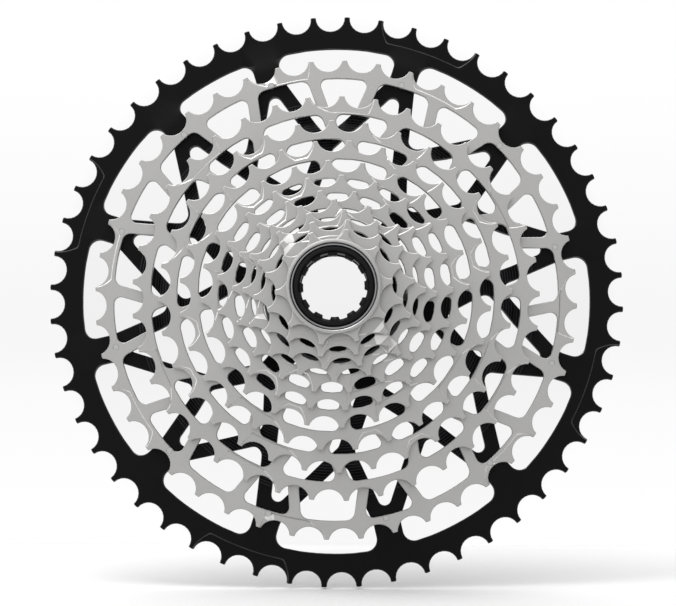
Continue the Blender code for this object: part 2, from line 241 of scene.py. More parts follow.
CAMERA_TARGET = (0.0, 0.006, 0.0)       # metres
CAMERA_SHIFT = (0.0032, -0.007)         # shares of the frame's width
SENSOR_WIDTH = 36.0
FLOOR_SIDE, FLOOR_AHEAD, FLOOR_BEHIND = 3.0, -1.2, 0.12         # metres
FLOOR_GAP = 0.0005          # metres below the lowest tooth
REST_LINE = 0.001           # metres in front of the rear face, where the teeth stand
LAMP_PLACE = (-0.25, -0.30, 0.80)       # metres
LAMP_SIZE = 0.35            # metres
LAMP_POWER = 4.0            # watts
# backdrop: heights of a view direction between which it is graded, and the grade as rows of
# (share of that span, share of the way from least to full brightness)
BACKDROP_LOW = -0.01
BACKDROP_HIGH = 0.21
BACKDROP_GRADE = ((0.145, 0.72), (0.27, 0.42), (0.37, 0.0), (0.50, 0.0), (0.74, 0.5))
SHADE_START = 7.9           # half angles of the shade disc, where it is full and where it ends
SHADE_END = 8.5


def polar(radius, degrees):
    """Points (x, z) from radii and angles in degrees."""
    angle = np.radians(degrees)
    return np.stack([radius * np.cos(angle), radius * np.sin(angle)], -1)


def circle(radius, steps, centre=(0.0, 0.0)):
    """Regular outline of a circle."""
    return polar(radius, np.arange(steps) * 360.0 / steps) + np.array(centre)


def pitch_radius(teeth):
    """Pitch over twice the sine of half the tooth angle."""
    return CHAIN_PITCH / 2.0 / math.sin(math.pi / teeth)


def root_radius(teeth):
    """Radius at the bottom of a tooth gap."""
    return pitch_radius(teeth) - ROOT_DROP


def tooth_outline(teeth, tip_angle, tip_rise, land):
    """Round gaps between narrow crowned tips.

    A gap is one circular arc through the root and both tip corners: at sideways distance u its
    radius is root + R - sqrt(R*R - u*u), with R = (depth^2 + half^2) / (2 depth).
    """
    root = root_radius(teeth)
    tip = pitch_radius(teeth) + tip_rise
    depth = tip - root
    half = math.pi * tip / teeth - land
    arc = (depth * depth + half * half) / (2.0 * depth)
    swing = math.asin(min(1.0, half / arc))
    turn = np.linspace(-swing, swing, GAP_STEPS)
    side = arc * np.sin(turn)
    reach = root + arc - arc * np.cos(turn)
    step = 360.0 / teeth
    beside_tip = math.degrees(TIP_POINT / tip) * np.array((-1.0, 0.0, 1.0))
    radii = np.concatenate([reach, tip + np.array(TIP_CROWN)])
    turns = np.concatenate([np.degrees(side / reach), step / 2.0 + beside_tip])
    gaps = tip_angle + (np.arange(teeth) + 0.5) * step
    return polar(radii, gaps[:, None] + turns).reshape(-1, 2)


def rounded(corners, steps=7):
    """Outline with arcs at its corners, from rows of (x, z, radius); radius 0 keeps the point.

    An arc touches both sides at radius / tan(half the corner's angle) from the corner, and its
    centre lies on the bisector at radius / sin(half the angle).
    """
    corners = np.array(corners, float)
    points = []
    for k in range(len(corners)):
        here = corners[k, :2]
        radius = corners[k, 2]
        if radius == 0.0:
            points.append(here[None])
            continue
        to_last = corners[k - 1, :2] - here
        to_next = corners[(k + 1) % len(corners), :2] - here
        last_length = np.hypot(*to_last)
        next_length = np.hypot(*to_next)
        to_last = to_last / last_length
        to_next = to_next / next_length
        half = math.acos(float(np.clip(np.dot(to_last, to_next), -1.0, 1.0))) / 2.0
        cut = min(radius / math.tan(half), LONGEST_CUT * last_length, LONGEST_CUT * next_length)
        radius = cut * math.tan(half)
        bisector = to_last + to_next
        centre = here + bisector / np.hypot(*bisector) * radius / math.sin(half)
        start = here + to_last * cut - centre
        end = here + to_next * cut - centre
        first = math.atan2(start[1], start[0])
        sweep = math.atan2(end[1], end[0]) - first
        sweep = (sweep + math.pi) % (2.0 * math.pi) - math.pi
        angles = first + sweep * np.linspace(0.0, 1.0, steps)
        points.append(centre + radius * np.stack([np.cos(angles), np.sin(angles)], -1))
    return np.concatenate(points)


def dense(loop, spacing):
    """The same outline with each side cut evenly into steps no longer than a spacing."""
    along = np.roll(loop, -1, 0) - loop
    pieces = np.ceil(np.hypot(along[:, 0], along[:, 1]) / spacing).astype(int)
    pieces = np.maximum(1, pieces)
    side = np.repeat(np.arange(len(loop)), pieces)
    number = np.arange(len(side)) - (np.cumsum(pieces) - pieces)[side]
    return loop[side] + along[side] * number[:, None] / pieces[side][:, None]


def area(loop):
    """Signed area of an outline by the shoelace formula."""
    after = np.roll(loop, -1, 0)
    return 0.5 * float(np.sum(loop[:, 0] * after[:, 1] - after[:, 0] * loop[:, 1]))


def turned(loop, sign):
    """The outline, counterclockwise for sign 1 and clockwise for sign -1."""
    return loop if area(loop) * sign > 0.0 else loop[::-1]


def inset(loop, distance):
    """Every point moved to the left of its outline, which is into the material.

    It moves along the normal of its two sides' mean direction, by the distance over the cosine
    of half the turn between them.
    """
    after = np.roll(loop, -1, 0) - loop
    before = loop - np.roll(loop, 1, 0)
    after /= np.maximum(np.hypot(after[:, 0], after[:, 1]), 1e-9)[:, None]
    before /= np.maximum(np.hypot(before[:, 0], before[:, 1]), 1e-9)[:, None]
    along = after + before
    along /= np.maximum(np.hypot(along[:, 0], along[:, 1]), 1e-9)[:, None]
    normal = np.stack([-along[:, 1], along[:, 0]], -1)
    lean = np.maximum(np.sum(along * after, -1), LEAST_LEAN)
    return loop + normal * (distance / lean)[:, None]


def within(points, loops):
    """Which points lie inside an odd number of outlines, by counting crossings of a ray."""
    found = np.zeros(len(points), bool)
    for loop in loops:
        after = np.roll(loop, -1, 0)
        x0, z0 = loop[:, 0], loop[:, 1]
        x1, z1 = after[:, 0], after[:, 1]
        rise = np.where(z1 == z0, 1e-12, z1 - z0)
        x, z = points[:, :1], points[:, 1:]
        crossing = ((z0 > z) != (z1 > z)) & (x < (x1 - x0) * (z - z0) / rise + x0)
        found ^= (crossing.sum(1) % 2).astype(bool)
    return found


def new_piece(name, vertices, faces, material, finishes=None):
    """Object from vertices in millimetres, smooth shaded with sharp edges kept.

    finishes holds the other materials and, for each face, the number of its material.
    """
    mesh = bpy.data.meshes.new(name)
    mesh.from_pydata((vertices * MM).tolist(), [], faces)
    mesh.update()
    mesh.validate()
    mesh.shade_smooth()
    mesh.set_sharp_from_angle(angle=math.radians(SHARP_ANGLE))
    mesh.materials.append(material)
    if finishes is not None:
        others, numbers = finishes
        for other in others:
            mesh.materials.append(other)
        mesh.polygons.foreach_set("material_index", numbers.astype(np.int32))
    piece = bpy.data.objects.new(name, mesh)
    bpy.context.scene.collection.objects.link(piece)
    return piece


def ramp_line(start, end, level, runs):
    """Edge of a ramp: from one point in to a radius, round at that radius, and out to another.

    At a way d from an end the radius is level + (end radius - level) (1 - sqrt(d / run)), with
    one run for each end.
    """
    radii = np.hypot(*start), np.hypot(*end)
    first = math.atan2(start[1], start[0])
    turn = (math.atan2(end[1], end[0]) - first) % (2.0 * math.pi)
    part = (0.5 - 0.5 * np.cos(np.linspace(0.0, math.pi, RAMP_STEPS)))[1:-1]
    way = np.minimum(part, 1.0 - part) * turn * level
    run = np.where(part < 0.5, runs[0], runs[1])
    rest = 1.0 - np.sqrt(np.minimum(1.0, way / run))
    radius = level + (np.where(part < 0.5, radii[0], radii[1]) - level) * rest
    return polar(radius, np.degrees(first + turn * part))


def edge_faces(loops, place, cap, count):
    """Front bevel, wall and rear bevel of each side of the outlines, as rows of four vertices.

    place holds the cap's vertex behind each edge point.  A mesh holds cap vertices of the front
    face, as many of the rear face, then count edge points in front and count behind.
    """
    faces = []
    start = 0
    for loop in loops:
        here = np.arange(start, start + len(loop))
        after = np.roll(here, -1)
        front = here + 2 * cap
        front_after = after + 2 * cap
        back = front + count
        back_after = front_after + count
        rows = (
            (place[after], place[here], front, front_after),
            (front_after, front, back, back_after),
            (back_after, back, place[here] + cap, place[after] + cap),
        )
        faces.append(np.stack([np.stack(row, -1) for row in rows], 1))
        start += len(loop)
    return np.concatenate(faces).reshape(-1, 4)


def cut_plate(name, outline, holes, front, back, bevel, materials, lowered=(), inner=None,
              fine=0, plain_below=0.0):
    """Plate cut from an outline with holes, with a bevel along every edge.

    front and back give y at (x, z) points.  lowered lists shift ramps as two outline indices,
    a radius and two runs: between the indices the front face lies deeper, outside a sloping
    step that carries a painted highlight, except below the radius plain_below, where it keeps
    the face's finish.  inner holds extra points that let a face follow its curved height.
    fine is how many of the last holes have only a broken edge.  materials are those of the
    faces, of the painted highlights on the ramps' steps and of the painted highlights on the
    bevels.
    Both faces are one Delaunay triangulation, kept where it lies in an odd number of outlines.
    """
    loops = [turned(outline, 1)] + [turned(hole, -1) for hole in holes]
    widths = [bevel] * (len(loops) - fine) + [FINE_BEVEL] * fine
    insets = [inset(loop, width) for loop, width in zip(loops, widths)]
    edge_width = np.repeat(widths, [len(loop) for loop in loops])
    edge_points = np.concatenate(loops)
    cap_points = np.concatenate(insets)
    count = len(edge_points)
    low = np.zeros(count)
    extra = []
    extra_low = []
    constraints = []
    start = 0
    for loop in loops:
        here = np.arange(start, start + len(loop))
        constraints += zip(here.tolist(), np.roll(here, -1).tolist())
        start += len(loop)
    size = len(outline)
    base = count
    for first, last, ramp_radius, runs in lowered:
        low[np.arange(first + 1, last) % size] = RAMP_DROP
        for level, begin, end, drop in ((ramp_radius - RAMP_STEP, first, last, 0.0),
                                        (ramp_radius, first + 1, last - 1, RAMP_DROP)):
            points = ramp_line(cap_points[begin % size], cap_points[end % size], level, runs)
            extra.append(points)
            extra_low.append(np.full(len(points), drop))
            chain = [begin % size, *range(base, base + len(points)), end % size]
            constraints += zip(chain, chain[1:])
            base += len(points)
    if inner is not None:
        extra.append(inner)
        extra_low.append(np.zeros(len(inner)))
    every = np.concatenate([cap_points] + extra)
    every_low = np.concatenate([low] + extra_low)
    result = delaunay_2d_cdt([Vector(p) for p in every], constraints, [], 0, 1e-6)
    points = np.array([tuple(p) for p in result[0]])
    triangles = np.array(result[2])
    triangles = triangles[within(points[triangles].mean(1), insets)]
    origin = np.array([rows[0] if rows else -1 for rows in result[3]])
    depth = np.where(origin >= 0, every_low[np.maximum(origin, 0)], 0.0)
    cap = len(points)
    place = np.zeros(len(every), int)
    place[[row for rows in result[3] for row in rows]] = np.repeat(
        np.arange(cap), [len(rows) for rows in result[3]])
    heights = np.concatenate([
        front(points) + depth,
        back(points),
        front(edge_points) + edge_width + low,
        back(edge_points) - edge_width,
    ])
    flat_places = np.concatenate([points, points, edge_points, edge_points])
    vertices = np.stack([flat_places[:, 0], heights, flat_places[:, 1]], -1)
    faces = triangles.tolist() + (triangles[:, ::-1] + cap).tolist()
    faces += edge_faces(loops, place, cap, count).tolist()
    # painted highlights: ramp slopes outside plain_below take material 1, and front and rear bevels
    # take material 2
    reach = np.hypot(*points[triangles].mean(1).T)
    painted_highlight_slopes = (np.ptp(depth[triangles], 1) > 0.1) & (reach > plain_below)
    numbers = np.concatenate([painted_highlight_slopes, np.zeros(len(triangles)), np.tile((2, 0, 2), count)])
    return new_piece(name, vertices, faces, materials[0], (materials[1:], numbers))


def flat(y):
    """Height function of a flat face."""
    return lambda points: np.full(len(points), y)


def lathe(name, rows, material):
    """Turned ring from rows of (radius, y), closed from the last row to the first.

    A point is (radius cos t, y, radius sin t), for angles t in even steps round the axis.
    """
    rows = np.array(rows, float)
    turn = np.arange(TURNED_STEPS) * 2.0 * math.pi / TURNED_STEPS
    x = np.cos(turn)[:, None] * rows[:, 0]
    z = np.sin(turn)[:, None] * rows[:, 0]
    y = np.broadcast_to(rows[:, 1], x.shape)
    vertices = np.stack([x, y, z], -1).reshape(-1, 3)
    size = len(rows)
    ring = np.arange(TURNED_STEPS)[:, None] * size
    next_ring = np.roll(ring, -1, 0)
    here = np.arange(size)
    after = np.roll(here, -1)
    faces = np.stack([ring + here, ring + after, next_ring + after, next_ring + here], -1)
    return new_piece(name, vertices, faces.reshape(-1, 4).tolist(), material)


class Nodes:
    """Short form for building the node tree of a material or a world."""

    def __init__(self, owner):
        owner.use_nodes = True
        self.tree = owner.node_tree

    def set(self, node, **values):
        """Give a node its properties and inputs by name; a socket as a value becomes a link."""
        for key, value in values.items():
            if hasattr(node, key):
                setattr(node, key, value)
            elif isinstance(value, bpy.types.NodeSocket):
                self.tree.links.new(value, node.inputs[key.replace("_", " ")])
            else:
                node.inputs[key.replace("_", " ")].default_value = value
        return node

    def add(self, kind, **values):
        """New node with its properties and inputs."""
        return self.set(self.tree.nodes.new(kind), **values)

    def maths(self, operation, *sources):
        """Result of an operation on numbers and sockets."""
        node = self.add("ShaderNodeMath", operation=operation)
        for socket, source in zip(node.inputs, sources):
            if isinstance(source, bpy.types.NodeSocket):
                self.tree.links.new(source, socket)
            else:
                socket.default_value = source
        return node.outputs[0]

    def curve(self, source, points):
        """Value at a place between 0 and 1 on a smooth curve through (place, value) rows."""
        node = self.add("ShaderNodeFloatCurve", Value=source)
        curve = node.mapping.curves[0]
        curve.points[0].location = points[0]
        curve.points[1].location = points[-1]
        for place, value in points[1:-1]:
            curve.points.new(place, value)
        node.mapping.update()
        return node.outputs["Value"]


def painted_terrace_highlights(n, radius, tone, colour, band):
    """Painted highlights on the edges of fine turned steps, over a band of radii: (from, to, step) in
    metres.

    A painted highlight shows where the fraction of radius / step is under a limit.
    """
    start, end, step = band
    place = n.maths("FRACT", n.maths("DIVIDE", radius, step))
    edge = n.maths("LESS_THAN", place, TERRACE_EDGE)
    inside = n.maths("COMPARE", radius, (start + end) / 2.0, (end - start) / 2.0)
    highlighted = n.add("ShaderNodeMix", data_type="RGBA", Factor=n.maths("MULTIPLY", edge, inside),
                    A=tone, B=(*colour, 1.0))
    return highlighted.outputs["Result"]


def metal(name, colour, roughness, metallic, specular, marks, grain, steps=None):
    """Cut metal: turning marks round the axis, fine grain, and worn lighter patches.

    The marks are noise over the radius sqrt(x^2 + z^2).  steps holds the colour of the painted
    highlights on turned steps' edges and their band, for a face that has them.
    """
    material = bpy.data.materials.new(name)
    n = Nodes(material)
    place = n.add("ShaderNodeTexCoord").outputs["Object"]
    apart = n.add("ShaderNodeSeparateXYZ", Vector=place).outputs
    square_x = n.maths("MULTIPLY", apart["X"], apart["X"])
    radius = n.maths("SQRT", n.maths("MULTIPLY_ADD", apart["Z"], apart["Z"], square_x))
    rings = n.add("ShaderNodeTexNoise", noise_dimensions="1D", Scale=MARK_SCALE, Detail=2.0,
                  W=radius)
    speckle = n.add("ShaderNodeTexNoise", Scale=GRAIN_SCALE, Detail=3.0, Vector=place)
    patches = n.add("ShaderNodeTexNoise", Scale=PATCH_SCALE, Detail=4.0, Vector=place)
    tone = n.add("ShaderNodeMix", data_type="RGBA", Factor=patches.outputs["Fac"],
                 A=tuple(c * (1.0 - TONE_SPREAD) for c in colour) + (1.0,),
                 B=tuple(min(1.0, c * (1.0 + TONE_SPREAD)) for c in colour) + (1.0,))
    shade = tone.outputs["Result"]
    # painted highlights on the edges of turned steps, where the face has them
    if steps is not None:
        shade = painted_terrace_highlights(n, radius, shade, *steps)
    rough = n.add("ShaderNodeMapRange", To_Min=roughness - ROUGH_SPREAD,
                  To_Max=roughness + ROUGH_SPREAD, Value=speckle.outputs["Fac"])
    turned_bump = n.add("ShaderNodeBump", Strength=marks, Distance=MARK_DEPTH,
                        Height=rings.outputs["Fac"])
    grain_bump = n.add("ShaderNodeBump", Strength=grain, Distance=MARK_DEPTH,
                       Height=speckle.outputs["Fac"], Normal=turned_bump.outputs["Normal"])
    n.set(n.tree.nodes["Principled BSDF"], Base_Color=shade, Roughness=rough.outputs["Result"],
          Normal=grain_bump.outputs["Normal"], Metallic=metallic, Specular_IOR_Level=specular)
    return material


def material_once(name, *values):
    """The named material, made on its first use."""
    return bpy.data.materials.get(name) or metal(name, *values)


def plate_span(node):
    """Front and rear y of a CAD node in millimetres."""
    low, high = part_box(node)
    return low[1] / MM, high[1] / MM


def smallest_plate():
    """Front y of the smallest sprocket's toothed plate, which stands behind its collar."""
    return plate_span("sprocket_12t")[0] - SPACING


def finish_piece(piece, body, slot, *nodes):
    """Let a piece ride on a body and hide the CAD nodes that it stands for; slot is not used."""
    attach(piece, body)
    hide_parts(*nodes)
    return piece


def window_loops(teeth, smaller):
    """Windows between leaning spokes, with round outer corners."""
    count, spoke_angle, width, lean = WINDOWS[teeth]
    outer = root_radius(teeth) - WINDOW_RIM
    inner = root_radius(smaller) - WINDOW_FOOT
    inner_corner, outer_corner = WINDOW_CORNERS
    step = 360.0 / count
    loops = []
    for k in range(count):
        shift = lean if k % 2 else -lean
        after = lean if (k + 1) % 2 else -lean
        half_out = math.degrees(width / 2.0 / outer)
        half_in = math.degrees(width / 2.0 / inner)
        start = spoke_angle + k * step
        end = start + step
        corners = [(*polar(inner, start + half_in - shift), inner_corner)]
        corners += [(*polar(inner, (start + end) / 2.0 - (shift + after) / 2.0), 0.0)]
        corners += [(*polar(inner, end - half_in - after), inner_corner)]
        corners += [(*polar(outer, end - half_out), outer_corner)]
        corners += [(*polar(outer, start + step * part), 0.0) for part in (0.62, 0.5, 0.38)]
        corners += [(*polar(outer, start + half_out), outer_corner)]
        loops.append(rounded(corners))
    return loops


def hole_loops(teeth, smaller):
    """A round-cornered hole behind each tooth gap of the next smaller sprocket."""
    tip_angle = {row[0]: row[1] for row in SPROCKETS}[smaller]
    outer = root_radius(teeth) - HOLE_RIM
    inner = root_radius(smaller) - HOLE_FOOT
    inner_corner, outer_corner = HOLE_CORNERS
    half = HOLE_HALF[teeth]
    step = 360.0 / smaller
    loops = []
    for k in range(smaller):
        middle = tip_angle + (k + 0.5) * step
        low = math.degrees(half * HOLE_TAPER / inner)
        high = math.degrees(half / outer)
        loops.append(rounded([
            (*polar(inner, middle - low), inner_corner),
            (*polar(inner - 0.3, middle), 0.0),
            (*polar(inner, middle + low), inner_corner),
            (*polar(outer, middle + high), outer_corner),
            (*polar(outer + 0.15, middle), 0.0),
            (*polar(outer, middle - high), outer_corner),
        ], 6))
    return loops


def arm_angles():
    """Angles of the spider's arms, the index arm shifted from its even place."""
    angles = [ARM_START + ARM_STEP * k for k in range(12)]
    angles[INDEX_ARM] += INDEX_SHIFT
    return angles


def pin_centres():
    """Centres of the pins that join the second sprocket to the arms."""
    return [polar(PIN_CIRCLE, angle) for angle in arm_angles()]


def beside(start, end, distance):
    """Line parallel to the one between two points, at a distance to its left."""
    start = np.array(start)
    end = np.array(end)
    along = (end - start) / np.hypot(*(end - start))
    shift = np.array([-along[1], along[0]]) * distance
    return start + shift, end + shift


def cross(first, second):
    """Point where two lines meet."""
    p, r = first[0], first[1] - first[0]
    q, s = second[0], second[1] - second[0]
    t = ((q - p)[0] * s[1] - (q - p)[1] * s[0]) / (r[0] * s[1] - r[1] * s[0])
    return p + t * r


def spider_openings():
    """The spider's windows: twelve between arms, six in forks and six between trunks."""
    arms = arm_angles()
    trunks = [TRUNK_START + TRUNK_STEP * k for k in range(6)]
    nodes = [trunk + side for trunk in trunks for side in (-NODE_HALF_ANGLE, NODE_HALF_ANGLE)]
    base = (ARM_WIDTH - LEG_WIDTH) / 2.0
    turn = math.degrees(base / ARM_END)

    def leg(k, node, side, edge):
        """Side line of the leg from arm k to a node; side is -1 towards lower angles."""
        start = polar(ARM_END, arms[k % 12] + turn * side)
        return beside(start, polar(NODE_RADIUS, node), LEG_WIDTH / 2.0 * edge)

    def arm_side(k, side):
        """Side line of arm k; side is -1 towards lower angles."""
        return beside((0.0, 0.0), polar(RING_BORE, arms[k % 12]), ARM_WIDTH / 2.0 * side)

    def fork(node, trunk, edge):
        """Side line of the leg from a node to its trunk; edge is the side, 1 or -1."""
        return beside(polar(NODE_RADIUS, node), polar(TRUNK_FORK, trunk), FORK_WIDTH / 2.0 * edge)

    loops = []
    for k in range(12):
        node = nodes[k]
        after = arms[(k + 1) % 12] + (360.0 if k == 11 else 0.0)
        edge = math.degrees(ARM_WIDTH / 2.0 / RING_BORE)
        start = arms[k] + edge
        end = after - edge
        corners = [(*polar(RING_BORE, start), RIM_CORNER)]
        corners += [(*polar(RING_BORE, a), 0.0) for a in np.linspace(start, end, 13)[3:-3]]
        corners += [(*polar(RING_BORE, end), RIM_CORNER)]
        low_leg = leg(k, node, 1, -1)
        high_leg = leg(k + 1, node, -1, 1)
        corners += [(*cross(arm_side(k + 1, -1), high_leg), LEG_CORNER)]
        corners += [(*cross(low_leg, high_leg), NODE_CORNER)]
        corners += [(*cross(arm_side(k, 1), low_leg), LEG_CORNER)]
        loops.append(dense(rounded(corners, 9), OPENING_STEP))
    for k, trunk in enumerate(trunks):
        low, high = trunk - NODE_HALF_ANGLE, trunk + NODE_HALF_ANGLE
        arm = 2 * k + 1
        first, second = leg(arm, low, -1, -1), leg(arm, high, 1, 1)
        low_fork, high_fork = fork(low, trunk, -1), fork(high, trunk, 1)
        loops.append(dense(rounded([
            (*cross(first, second), CROTCH_CORNER),
            (*cross(first, low_fork), NODE_CORNER),
            (*cross(low_fork, high_fork), NODE_CORNER),
            (*cross(second, high_fork), NODE_CORNER),
        ]), OPENING_STEP))
        after = trunk + TRUNK_STEP
        low, high = trunk + NODE_HALF_ANGLE, after - NODE_HALF_ANGLE
        arm = 2 * k + 2
        first, second = leg(arm, low, -1, -1), leg(arm, high, 1, 1)
        low_fork, high_fork = fork(low, trunk, -1), fork(high, after, 1)
        low_trunk = beside((0.0, 0.0), polar(50.0, trunk), TRUNK_WIDTH / 2.0)
        high_trunk = beside((0.0, 0.0), polar(50.0, after), -TRUNK_WIDTH / 2.0)
        edge = math.degrees(TRUNK_WIDTH / 2.0 / HUB_RADIUS)
        hub = [(*polar(HUB_RADIUS, a), 0.0)
               for a in np.linspace(trunk + edge, after - edge, 9)[2:-2]]
        loops.append(dense(rounded([
            (*cross(first, second), CROTCH_CORNER),
            (*cross(first, low_fork), NODE_CORNER),
            (*cross(low_fork, low_trunk), TRUNK_CORNER),
            (*polar(HUB_RADIUS, trunk + edge), HUB_CORNER),
            *hub,
            (*polar(HUB_RADIUS, after - edge), HUB_CORNER),
            (*cross(high_fork, high_trunk), TRUNK_CORNER),
            (*cross(second, high_fork), NODE_CORNER),
        ]), OPENING_STEP))
    return loops


def spider_face(column):
    """Height function of the dish: straight lines between the profile's rows over the radius."""
    def height(points):
        radius = np.hypot(points[:, 0], points[:, 1])
        return np.interp(radius, SPIDER_PROFILE[:, 0], SPIDER_PROFILE[:, column])
    return height


def hub_bore():
    """Splined bore: in each turn, points on a tip's radius and then on the root's radius."""
    turn = 360.0 / HUB_SPLINES
    radii = np.repeat((SPLINE_TIP, SPLINE_ROOT), (len(SPLINE_TIP_PARTS), len(SPLINE_GAP_PARTS)))
    parts = np.array(SPLINE_TIP_PARTS + SPLINE_GAP_PARTS)
    starts = np.arange(HUB_SPLINES) * turn
    return dense(polar(radii, starts[:, None] + turn * parts).reshape(-1, 2), OPENING_STEP)


def dish_points(holes):
    """Rings of extra points on the spider inside its toothed ring, clear of its openings."""
    radii = np.concatenate([np.arange(HUB_START, HUB_RADIUS - 0.5, HUB_GRID),
                            np.arange(LEGS_START, LEGS_END, LEGS_GRID)])
    points = np.concatenate([circle(r, int(2.0 * math.pi * r / LEGS_GRID)) for r in radii])
    clear = ~within(points, [inset(turned(hole, -1), OPENING_CLEAR) for hole in holes])
    clear &= np.hypot(points[:, 0], points[:, 1]) < RING_BORE - RIM_CLEAR
    return points[clear]


def ramp_rows(teeth, deepest):
    """Shift ramps, each from the tip of one tooth to the tip of a later one."""
    row = GAP_STEPS + TIP_STEPS
    root = root_radius(teeth)
    span, starts = ROUND_RAMPS.get(teeth, (0, ()))
    level = LARGEST_LEVEL if teeth == SPROCKETS[0][0] else ROUND_LEVEL
    ramps = [(k, span, root - level, ROUND_RUNS) for k in starts]
    ramps += [(k, 2, root - deepest, SWEPT_RUNS) for k in SWEPT_RAMPS.get(teeth, ())]
    return [(k * row - 1, (k + wide) * row - 3, radius, runs) for k, wide, radius, runs in ramps]


class CassetteSettings(bpy.types.PropertyGroup):
    """Colours and bevels that the operators share."""

    steel: FloatVectorProperty(
        name="Steel", description="Colour of the plated steel sprockets", size=3,
        default=(0.385, 0.382, 0.378), min=0.0, max=1.0, subtype="COLOR")
    black: FloatVectorProperty(
        name="Black", description="Colour of the spider and of the lock tube", size=3,
        default=(0.0035, 0.0035, 0.0039), min=0.0, max=1.0, subtype="COLOR")
    steel_bevel: FloatProperty(
        name="Steel bevel", description="Width of the bevels on the steel sprockets",
        default=0.00022, unit="LENGTH", precision=5)
    black_bevel: FloatProperty(
        name="Black bevel", description="Width of the bevels on the spider",
        default=0.00025, unit="LENGTH", precision=5)


class CassetteStage(bpy.types.PropertyGroup):
    """Floor, sky, backdrop and camera."""

    floor: FloatVectorProperty(
        name="Floor", description="Colour of the floor", size=3,
        default=(0.535, 0.535, 0.535), min=0.0, max=1.0, subtype="COLOR")
    lens: FloatProperty(
        name="Lens", description="Focal length of the camera", default=100.0, unit="CAMERA")
    distance: FloatProperty(
        name="Distance", description="From the camera to the cassette", default=0.70,
        unit="LENGTH")
    elevation: FloatProperty(
        name="Elevation", description="Angle of the camera above the axis",
        default=math.radians(-5.7), subtype="ANGLE")
    azimuth: FloatProperty(
        name="Azimuth", description="Angle of the camera to the right of the axis",
        default=math.radians(1.0), subtype="ANGLE")
    sky: FloatProperty(
        name="Sky", description="Strength of the sky", default=2.4, min=0.0)
    above: FloatProperty(
        name="Overhead", description="Share of the sky's strength overhead", default=1.0,
        min=0.0, max=1.0, subtype="FACTOR")
    level: FloatProperty(
        name="Eye level", description="Share of the sky's strength at eye level", default=0.38,
        min=0.0, max=1.0, subtype="FACTOR")
    below: FloatProperty(
        name="Below", description="Share of the sky's strength from below", default=0.30,
        min=0.0, max=1.0, subtype="FACTOR")
    leftward: FloatProperty(
        name="From the left", description="Share by which the sky is stronger on the left",
        default=0.35, min=0.0, max=1.0, subtype="FACTOR")
    backdrop: FloatProperty(
        name="Backdrop", description="Brightness of the backdrop where it is least",
        default=0.935, min=0.0, max=1.0, subtype="FACTOR")
    shade: FloatProperty(
        name="Shade", description="Share of the backdrop's brightness in the disc of shade",
        default=0.935, min=0.0, max=1.0, subtype="FACTOR")


def steel_material():
    """Matt nickel plate."""
    return material_once("matt_nickel", tuple(bpy.context.scene.cassette.steel), 0.42, 1.0, 0.5,
                         0.10, 0.10)


def steel_materials():
    """Matt nickel plate, with painted highlights: the ramps' steps and the bevels are drawn in
    lighter colours.
    """
    colour = tuple(bpy.context.scene.cassette.steel)
    # painted highlight: the ramps' steps are drawn lighter, standing in for light catching them
    step = material_once("cut_step_painted_highlight", tuple(min(1.0, c * 1.8) for c in colour), 0.5, 1.0, 0.5,
                         0.05, 0.05)
    # painted highlight: the bevels are drawn a little lighter, standing in for light catching them
    edge = material_once("nickel_edge_painted_highlight", tuple(min(1.0, c * 1.1) for c in colour), 0.40, 1.0, 0.5,
                         0.05, 0.05)
    return (steel_material(), step, edge)


def black_materials():
    """Black anodised aluminium, with painted highlights: turned steps' edges, ramps' steps and bevels
    are drawn in lighter colours.
    """
    colour = tuple(bpy.context.scene.cassette.black)
    # painted highlight: the turned steps' edges are drawn nine times lighter than the face
    face = material_once("black_anodised_cut", colour, 0.42, 0.0, 0.06, 0.15, 0.15,
                         (tuple(c * 9.0 for c in colour), TERRACES))
    # painted highlight: the ramps' steps are drawn lighter
    step = material_once("black_step_painted_highlight", tuple(c * 4.0 for c in colour), 0.35, 0.0, 0.5, 0.1, 0.1)
    # painted highlight: the bevels are drawn lighter
    edge = material_once("black_edge_painted_highlight", tuple(c * 3.0 for c in colour), 0.30, 0.0, 0.45, 0.1, 0.1)
    return (face, step, edge)


def steel_detail(piece):
    """Let an extra steel piece ride on the cluster in the sprockets' finish."""
    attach(piece, "cluster")


class CASSETTE_OT_spider(bpy.types.Operator):
    """Build the black sprocket with its arms, forked legs, trunks and hub"""

    bl_idname = "cassette.spider"
    bl_label = "Spider sprocket"

    def execute(self, context):
        row = SPROCKETS[0]
        holes = spider_openings() + [hub_bore()]
        holes += [circle(PIN_HOLE, PIN_HOLE_STEPS, centre) for centre in pin_centres()]
        piece = cut_plate("spider_cut", tooth_outline(*row), holes, spider_face(1),
                          spider_face(2), context.scene.cassette.black_bevel / MM,
                          black_materials(), ramp_rows(row[0], 0.0), dish_points(holes),
                          len(pin_centres()))
        finish_piece(piece, "cluster", "black_anodised", "sprocket_52t_spider")
        return {"FINISHED"}


